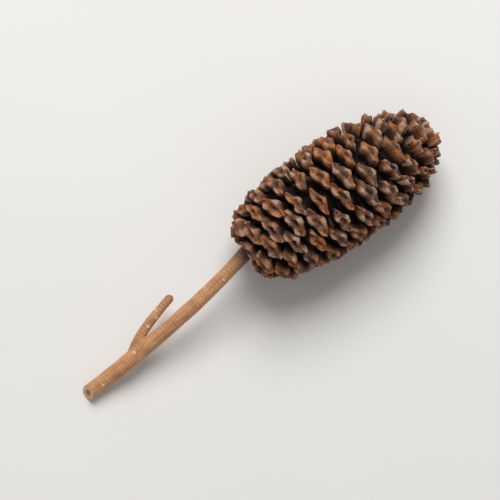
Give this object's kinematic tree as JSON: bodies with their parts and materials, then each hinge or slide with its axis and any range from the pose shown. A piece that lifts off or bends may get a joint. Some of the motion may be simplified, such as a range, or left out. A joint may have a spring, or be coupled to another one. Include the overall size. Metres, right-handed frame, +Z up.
{
  "type": "alder cone",
  "caption": "Ripe woody alder cone, ovoid, closely set with lens-ended scales in a spiral, lying on its side on its cut, forked stem.",
  "frame": {"origin": "on the surface it lies on, under the middle of the whole part's bounding box", "axes": "+X along the cone from its stem to its tip, the longest extent; +Z up from the surface"},
  "size_m": [0.047, 0.0126, 0.0121],
  "materials": {
    "scale_wood": "weathered",
    "twig_bark": "satin"
  },
  "bodies": {
    "root": {"cone": "scale_wood", "stem": "twig_bark"}
  },
  "joints": []
}
